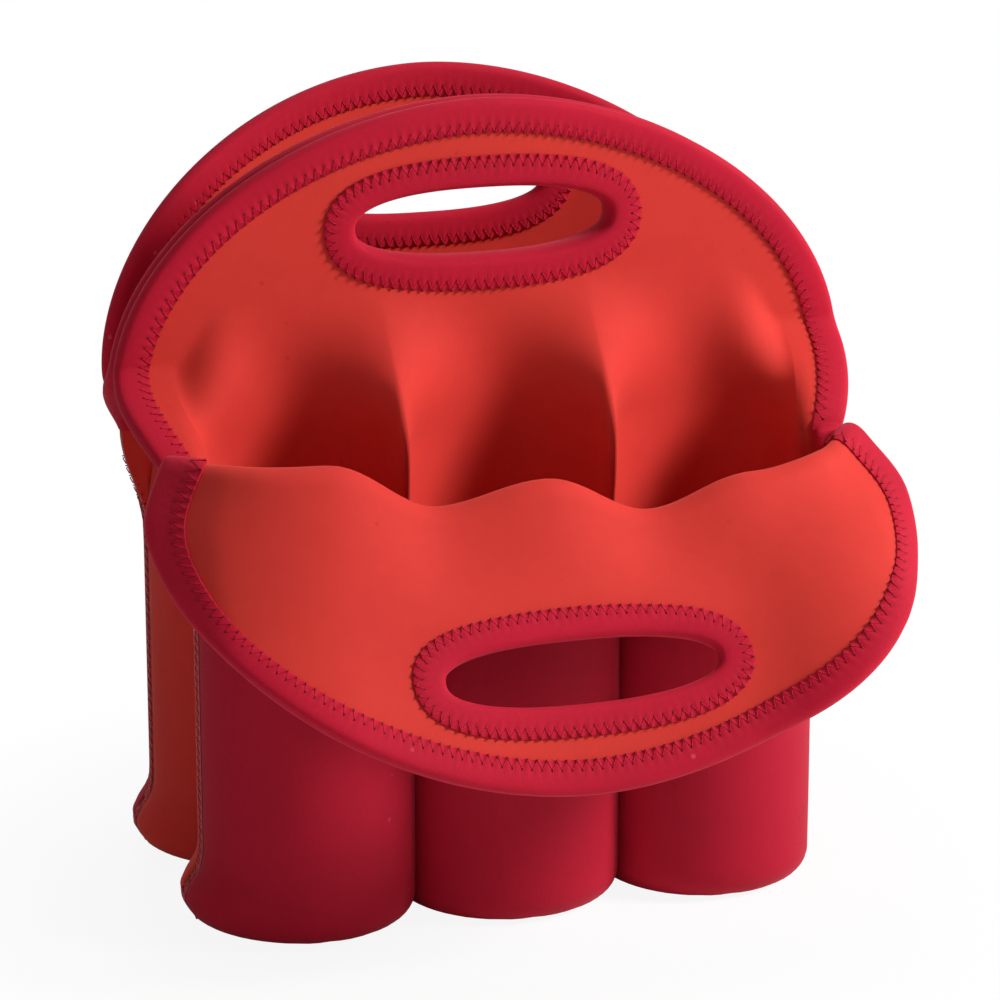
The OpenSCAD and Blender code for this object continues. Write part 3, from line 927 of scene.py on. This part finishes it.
# %% [markdown]
# The zigzag seam is one thread on each face. It goes from a needle hole on the tape to
# one on the cloth just beside it, and back. Each thread is a thin tube with six sides.

# %% Threads
def tube(line, up, radius, closed=False, sides=6):
    """A thread of round section along a line of points, as a grid of points round it and
    along it. Its section turns with the line and with up, the surface's normal there."""
    t = tangents(line, closed)
    a = unit(np.cross(t, up))
    b = np.cross(a, t)
    angle = 2 * np.pi * np.arange(sides) / sides
    ring = a * np.cos(angle)[:, None, None] + b * np.sin(angle)[:, None, None]
    p = line + ring * np.broadcast_to(radius, len(line))[None, :, None]
    return p, run_length(line), closed


def tube_quads(sides, n, closed):
    """Quads of a grid of points round a tube and along it."""
    i, j = np.meshgrid(np.arange(sides), np.arange(n if closed else n - 1), indexing="ij")
    i2, j2 = (i + 1) % sides, (j + 1) % n
    return np.stack([i * n + j, i2 * n + j, i2 * n + j2, i * n + j2], -1).reshape(-1, 4)


def tube_mesh(name, tubes, material):
    """One mesh of several threads, each closed by two quads at either end or into a loop."""
    points, quads, uvs, first = [], [], [], 0
    for p, length, closed, dark in tubes:
        sides, n = p.shape[:2]
        q = tube_quads(sides, n, closed)
        if not closed:
            m = np.arange(sides) * n
            e = m + n - 1
            caps = [m[[3, 2, 1, 0]], m[[5, 4, 3, 0]], e[[0, 1, 2, 3]], e[[0, 3, 4, 5]]]
            q = np.concatenate([q, caps])
        points.append(p.reshape(-1, 3))
        # V of the map is how far the thread's colour is darkened; at needle holes this is painted
        # shade.
        uv = np.stack(np.broadcast_arrays(length / 1000, dark + 0 * p[:, :, 0]), -1)
        uvs.append(uv.reshape(-1, 2))
        quads.append(q + first)
        first += sides * n
    points, quads, uvs = [np.concatenate(k) for k in (points, quads, uvs)]
    return put_mesh(name, points, quads, uvs, np.zeros(len(quads)), [material])


def zigzag(f, path, half, side, closed, pitch=STITCH, near=6.5, far=9.7, radius=0.13, per=10):
    """One thread of a zigzag seam on one face of a tape. Its distance in from the edge is
    a triangle wave between near and far, and it dives at each needle hole."""
    inward = across(path, closed, False)
    at, total = seam_run(f, path, inward, closed)
    count = int(round(total / pitch))
    s = np.linspace(0, total, count * per + 1)
    if closed:
        s = s[:-1]
        path = np.concatenate([path, path[:1]])
        inward = np.concatenate([inward, inward[:1]])
        at = np.concatenate([at, [total]])
    k = np.arange(len(s)) / per
    wave = 2 * np.abs(k - np.round(k))
    q = near + (far - near) * wave
    dive = np.clip(np.abs(wave - 0.5) * 2 - 0.7, 0, 1) / 0.3
    on = np.stack([np.interp(s, at, path[:, c]) for c in (0, 1)], -1)
    way = unit(np.stack([np.interp(s, at, inward[:, c]) for c in (0, 1)], -1))
    height = half + 0.3 + TAPE_T + 0.06 - 0.16 * dive
    p = on + way * q[:, None]
    n = function_normals(f, p[:, 0], p[:, 1])
    line = f(p[:, 0], p[:, 1]) + n * side * height[:, None]
    # dive also darkens the thread through its map: painted shade at each needle hole.
    return (*tube(line, n * side, radius + 0.46 * dive, closed), dive)


def bound_edge(stem, f, path, half, closed, body, nodes):
    """A tape and its two zigzag threads."""
    tape = tape_piece(stem + "_binding", f, path, half, closed)
    seam = tube_mesh(
        stem + "_stitches", [zigzag(f, path, half, side, closed) for side in (-1, 1)], dark_thread
    )
    fix(tape, body, "binding_tape", *nodes)
    fix(seam, body, "binding_tape")
    points = [len(piece.data.vertices) for piece in (tape, seam)]
    print(stem, points[0], "tape points and", points[1], "thread points")


def middle_at(x, z):
    """The plane between the two layers of the middle handle."""
    return np.stack([x + 0 * z, 0 * x + 0 * z, z + 0 * x], -1)


upright_edge = arch_line(BACK_H + 0.3, ARCH_Z, EDGE_POINTS)
upright_grip = grip_line(GRIP_W, GRIP_H, GRIP_Z, GRIP_POINTS)
flap_edge = arch_line(0.0, FLAP_S, EDGE_POINTS + 60)
down = np.linspace(-4.5, -0.6, 8)
tail = np.stack([np.full_like(down, flap_edge[-1, 0]), down], -1)
flap_edge = np.concatenate([tail * [-1, 1], flap_edge, tail[::-1]])
flap_grip = grip_line(FLAP_GRIP_W, GRIP_H, FLAP_GRIP_S, GRIP_POINTS)
for stem, f, path, half, body, *nodes in (
    ("middle_front_edge", layer_at(-1), upright_edge, CLOTH / 2, "middle_handle",
     "middle_front_edge_tape", "middle_front_foot_tape"),
    ("middle_rear_edge", layer_at(1), upright_edge, CLOTH / 2, "middle_handle",
     "middle_rear_edge_tape", "middle_rear_foot_tape"),
    ("middle_grip", middle_at, upright_grip, LAYER_Y + CLOTH / 2, "middle_handle",
     "middle_grip_tape"),
    ("rear_handle_edge", rear_at, upright_edge, CLOTH / 2, "rear_handle_body",
     "rear_handle_edge_tape"),
    ("rear_handle_grip", rear_at, upright_grip, CLOTH / 2, "rear_handle_body",
     "rear_handle_grip_tape"),
    ("front_flap_edge", flap_at, flap_edge, CLOTH / 2, "front_flap_body",
     "front_flap_edge_tape"),
    ("front_flap_grip", flap_at, flap_grip, CLOTH / 2, "front_flap_body",
     "front_flap_grip_tape"),
):
    bound_edge(stem, f, path, half, "grip" in stem, body, nodes)

# %% [markdown]
# At the four upper corners the tapes of neighbouring edges meet. In front a short band of
# tape turns from the middle handle's edge into the flap's edge, gathered by the turn. A
# bar tack, a bundle of short threads side by side, holds each corner. Down the side seams
# a thread is whipped over the two cut edges.


# %% Corners
def band(name, centres, across_x, half_width, half_thick, around=28):
    """A gathered band of tape: a rounded section |u/w|^3 + |v/t|^3 = 1 carried along a
    curve of centres in the plane x = constant, with small folds along the turn."""
    t = tangents(centres, False)
    wide = np.broadcast_to(across_x, t.shape)
    up = unit(np.cross(t, wide))
    a = 2 * np.pi * np.arange(around) / around
    u, v = spow(np.cos(a), 2 / 3), spow(np.sin(a), 2 / 3)
    fold = 1 + 0.07 * np.sin(np.linspace(0, 7 * np.pi, len(t)))[None] * (1 + u[:, None]) / 2
    p = centres + wide * (u * half_width)[:, None, None]
    p = p + up * (v[:, None] * half_thick * fold)[..., None]
    return loft(name, p, binding)


def loft(name, p, material):
    """A closed mesh from a grid of points round a band and along it, capped with strips."""
    around, n = p.shape[:2]
    sides = tube_quads(around, n, False)
    k = np.arange(around // 2 - 1)
    strip = np.stack([k, k + 1, (around - 2 - k) % around, around - 1 - k], -1)
    quads = np.concatenate([sides, strip[:, ::-1] * n, strip * n + n - 1])
    first = p.reshape(-1, 3)[sides]
    face = np.cross(first[:, 1] - first[:, 0], first[:, 2] - first[:, 0])
    centre = p.mean(0)[sides[:, 0] % n]
    if np.sum(face * (first.mean(1) - centre)) < 0:
        quads = quads[:, ::-1]
    length = run_length(p.mean(0))
    uv = np.stack(np.broadcast_arrays(length / 1000, np.linspace(0, 0.02, around)[:, None]), -1)
    return put_mesh(name, p, quads, uv, np.zeros(len(quads)), [material])


def tack(f, path, side, half, first=9, count=8, gap=0.5):
    """Threads of a bar tack: short straight lines across a tape, laid side by side. The
    path starts at the corner."""
    out = []
    inward = across(path, False, False) * -np.sign(path[0, 0])
    for k in range(count):
        i = first + int(round(k * gap / np.linalg.norm(path[1] - path[0])))
        q = np.linspace(-0.6, 9.2, 12)
        p = path[i] + inward[i] * q[:, None]
        n = function_normals(f, p[:, 0], p[:, 1])
        high = half + 1.35 - 0.8 * (np.abs(np.linspace(-1, 1, 12)) ** 8) + 0.12 * (k % 2)
        line = f(p[:, 0], p[:, 1]) + n * side * high[:, None]
        # The thread's V darkens it a little all along and fully at its ends, where it sinks into
        # the cloth: painted shade of the needle holes at the ends.
        out.append((*tube(line, n * side, 0.3), 0.35 + 0.65 * np.abs(np.linspace(-1, 1, 12)) ** 4))
    return out


for hand, word in ((-1, "left"), (1, "right")):
    inner = arch_half(BACK_H - ARCH_Z) - 4.4
    top = layer_at(-1)(np.array(hand * inner), np.array(BACK_H + 2.5))
    low = flap_at(np.array(hand * (CORNER_X - 4.4)), np.array(-4.0))
    turn = np.array([(top[0] + low[0]) / 2, (top[1] + low[1]) / 2 + 0.8, min(top[2], low[2]) - 5.0])
    t = np.linspace(0, 1, 30)[:, None]
    centres = top * (1 - t) ** 2 + turn * 2 * t * (1 - t) + low * t**2
    corner = band("corner_binding_" + word, centres, np.array([1.0, 0, 0]), 5.2, 2.85)
    fix(corner, "carrier", "binding_tape")
    for stem, f, face, body in (
        ("middle", layer_at(-1), -1, "middle_handle"), ("rear", rear_at, 1, "rear_handle_body"),
    ):
        made = tack(f, upright_edge[::-hand], face, CLOTH / 2)
        piece = tube_mesh(stem + "_bar_tack_" + word, made, dark_thread)
        fix(piece, body, "binding_tape")

# %% [markdown]
# The whipped thread of a side seam is a triangle wave across the two rims, drawn in at
# both faces, and it moves with the cloth's own waves.


# %% Side seams
def whipped(row, hand, low=12.0, high=142.0, pitch=3.4, per=8):
    """The thread over a side seam of a row of pockets, from its foot up."""
    count = int((high - low) / pitch)
    k = np.arange(count * per + 1) / per
    wave = 2 * np.abs(k - np.round(k))
    out = np.clip(np.abs(wave - 0.5) * 2 - 0.5, 0, 1) * 2
    z = low + pitch * k
    wider = (CORNER_X - 5.5 - MARGIN_X) * rise((z - ROUND_H) / (BACK_H - ROUND_H))
    x = hand * (MARGIN_X + wider + 0.2 - 1.6 * out**2)
    y = row * (SEAM_Y + 1.6 * rise((z - 125) / 25)) + 3.3 * (2 * wave - 1) * (0.9 + 0.1 * out)
    p = sag(np.stack([x, y, z], -1), 0.7)
    up = np.broadcast_to([float(hand), 0, 0], p.shape)
    # out, where the thread goes into the cloth at either face, also darkens it: painted shade of
    # the needle holes.
    return (*tube(p, up, 0.2), out * 0.8)


def loose_end(start, way, length, droop):
    """A loose end of thread: a parabola from its start, 0.3 mm thick."""
    t = np.linspace(0, 1, 16)[:, None]
    line = np.asarray(start) + np.asarray(way) * length * t + np.array([0, 0, -droop]) * t**2
    return (*tube(line, np.broadcast_to([0, 0.2, 1.0], line.shape), 0.16), 0.0)


for row, word in ((-1, "front"), (1, "rear")):
    made = [whipped(row, hand) for hand in (-1, 1)]
    if row < 0:
        made.append(loose_end((35.0, -40.5, 7.0), (0.75, -0.66, 0.0), 5.0, 3.0))
        made.append(loose_end((-35.6, -40.5, 6.0), (0.7, -0.7, 0.1), 6.5, 4.0))
        made.append(loose_end((-35.4, -40.8, 5.0), (0.5, -0.85, 0.2), 4.0, 2.5))
    seam = tube_mesh(word + "_seam_stitches", made, seam_thread)
    fix(seam, "carrier", "crimson_cloth")
print("corners, tacks and seams made")

# %% [markdown]
# A middle layer is taken to be 75 mm fuller at its foot than its arch, and to lose that
# evenly over 55 mm, which is an estimate.

# %% [markdown]
# The studio: a plain pale floor that runs on as a white background, a large soft key
# light from the upper right in front, and a weaker fill. The world is seen white by the
# camera and by reflections, and lights the bag with a plain grey.

# %% Floor, lights and camera
def floor_material():
    """Pale floor: mostly white to the camera, and wholly so away from the bag, with the
    bag's soft shadow kept."""
    made, net, shader = new_material("pale floor", shine=0.1, sheen=0.0)
    place = net.add("ShaderNodeTexCoord").outputs["Object"]
    speckle = net.add("ShaderNodeTexNoise", {"Scale": 40.0, "Vector": place})
    tone = net.mix(speckle.outputs["Fac"], rgb(250, 250, 250), rgb(255, 255, 255))
    net.put(shader, {"Base Color": tone, "Roughness": 0.9})
    white = net.add("ShaderNodeEmission", {"Color": (1, 1, 1, 1), "Strength": 1.0})
    far = net.add("ShaderNodeVectorMath", {0: place}, operation="LENGTH").outputs["Value"]
    seen = net.add("ShaderNodeLightPath").outputs["Is Camera Ray"]
    share = net.math("MULTIPLY", net.span(far, 0.12, 0.24, 0.9, 1.0), seen)
    both = net.add("ShaderNodeMixShader", {0: share, 1: shader.outputs[0], 2: white.outputs[0]})
    net.put(made.node_tree.nodes["Material Output"], {"Surface": both.outputs[0]})
    return made


side = 3.0
floor_mesh = bpy.data.meshes.new("floor")
floor_mesh.from_pydata(
    [(-side, -side, 0), (side, -side, 0), (side, side, 0), (-side, side, 0)], [], [(0, 1, 2, 3)]
)
floor = bpy.data.objects.new("floor", floor_mesh)
bpy.context.scene.collection.objects.link(floor)
floor.location.z = -0.0005
floor_mesh.materials.append(floor_material())

world = bpy.data.worlds.new("studio")
bpy.context.scene.world = world
world.use_nodes = True
net = Net(world.node_tree)
world.node_tree.nodes.clear()
path = net.add("ShaderNodeLightPath")
seen = net.math(
    "MAXIMUM", path.outputs["Is Camera Ray"],
    net.math("MAXIMUM", path.outputs["Is Glossy Ray"], path.outputs["Is Transmission Ray"]),
)
ambient = net.add("ShaderNodeBackground", {"Color": (1, 1, 1, 1), "Strength": 0.1})
white = net.add("ShaderNodeBackground", {"Color": (1, 1, 1, 1), "Strength": 1.0})
mixed = net.add("ShaderNodeMixShader", {0: seen, 1: ambient.outputs[0], 2: white.outputs[0]})
net.add("ShaderNodeOutputWorld", {"Surface": mixed.outputs[0]})


def area_light(name, place, target, size, power, colour=(1, 1, 1)):
    """A square soft light at place that looks at target."""
    lamp = bpy.data.lights.new(name, "AREA")
    lamp.size = size
    lamp.energy = power
    lamp.color = colour
    made = bpy.data.objects.new(name, lamp)
    bpy.context.scene.collection.objects.link(made)
    made.location = place
    made.rotation_euler = (Vector(target) - Vector(place)).to_track_quat("-Z", "Y").to_euler()
    return made


area_light("key", (0.98, -0.5, 0.8), (0, 0, 0.12), 0.34, 17)
area_light("fill", (-1.5, -1.6, 0.6), (0, 0, 0.12), 1.4, 3.4)
area_light("top", (0.1, 0.5, 1.6), (0, 0, 0.12), 1.2, 6)

CAMERA_AT = Vector((-0.38215, -1.22632 + BAG_Y / 1000, 0.49938))
CAMERA_YAW, CAMERA_PITCH = 17.6, 16.24
lens = bpy.data.cameras.new("photo camera")
lens.sensor_width = 36.0
lens.lens = 4001.24 / 1000 * 36.0
lens.clip_start, lens.clip_end = 0.05, 20.0
camera = bpy.data.objects.new("photo camera", lens)
bpy.context.scene.collection.objects.link(camera)
camera.location = CAMERA_AT
camera.rotation_euler = (math.radians(90 - CAMERA_PITCH), 0, math.radians(-CAMERA_YAW))
bpy.context.scene.camera = camera
bpy.context.scene.view_settings.view_transform = "Standard"
